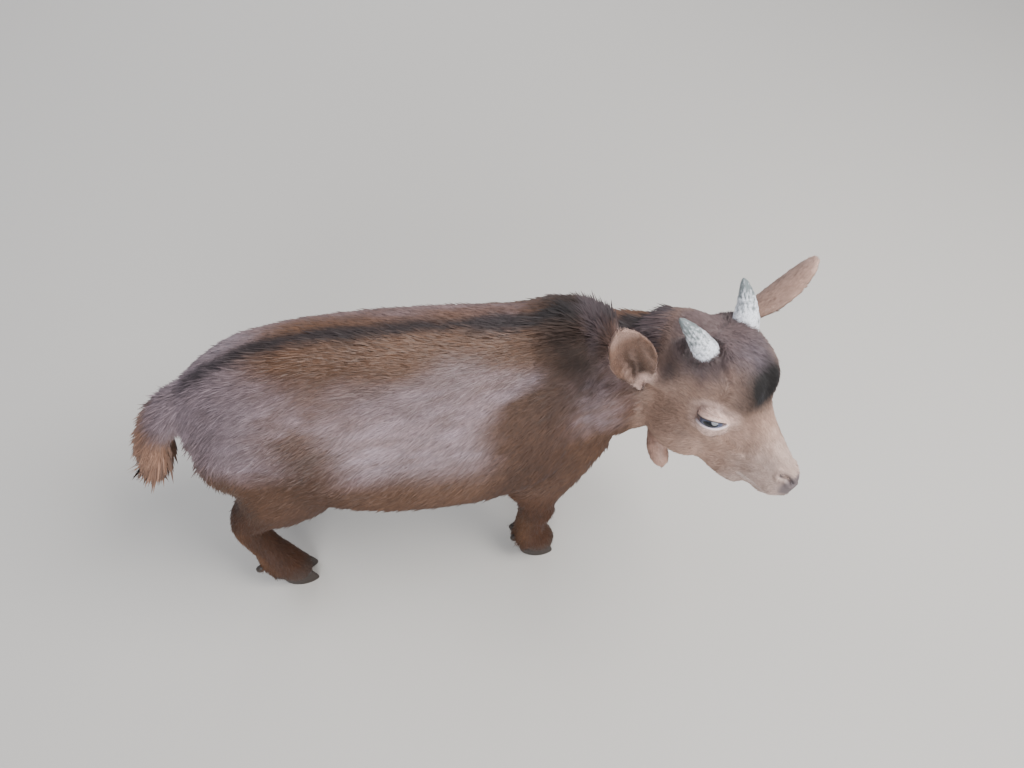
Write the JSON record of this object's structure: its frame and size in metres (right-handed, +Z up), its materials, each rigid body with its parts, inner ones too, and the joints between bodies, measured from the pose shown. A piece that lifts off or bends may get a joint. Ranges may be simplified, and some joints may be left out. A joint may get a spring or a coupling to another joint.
{
  "type": "goat",
  "caption": "Dwarf goat kid standing with its head turned to its right and lowered a little, with short horns, pricked ears, throat wattles and a hanging tail.",
  "frame": {"origin": "on the floor, under the middle of the bounding box", "axes": "+X the way the trunk faces, +Y the goat's left, +Z up"},
  "size_m": [0.5732, 0.2232, 0.3878],
  "materials": {
    "coat": "short glossy chocolate-brown hair",
    "face": "short greyish tan hair",
    "ear": "thin skin under short tan hair",
    "leg": "short reddish brown hair",
    "tail": "rust-brown hair fringe",
    "wattle": "soft pinkish skin under thin hair",
    "horn": "dry grey horn with pale flaking scurf",
    "claw": "dark brown horn",
    "eye": "wet dark blue-grey eye"
  },
  "bodies": {
    "root": {"trunk": "coat", "neck": "coat", "head": "face", "tail": "tail", "ear_left": "ear", "eye_left": "eye", "horn_left": "horn", "wattle_left": "wattle", "ear_right": "ear", "eye_right": "eye", "horn_right": "horn", "wattle_right": "wattle", "leg_fore_left_upper": "leg", "leg_fore_left_lower": "leg", "claw_fore_left_inner": "claw", "dewclaw_fore_left_inner": "claw", "claw_fore_left_outer": "claw", "dewclaw_fore_left_outer": "claw", "leg_fore_right_upper": "leg", "leg_fore_right_lower": "leg", "claw_fore_right_inner": "claw", "dewclaw_fore_right_inner": "claw", "claw_fore_right_outer": "claw", "dewclaw_fore_right_outer": "claw", "leg_hind_left_upper": "leg", "leg_hind_left_lower": "leg", "claw_hind_left_inner": "claw", "dewclaw_hind_left_inner": "claw", "claw_hind_left_outer": "claw", "dewclaw_hind_left_outer": "claw", "leg_hind_right_upper": "leg", "leg_hind_right_lower": "leg", "claw_hind_right_inner": "claw", "dewclaw_hind_right_inner": "claw", "claw_hind_right_outer": "claw", "dewclaw_hind_right_outer": "claw"}
  },
  "joints": []
}
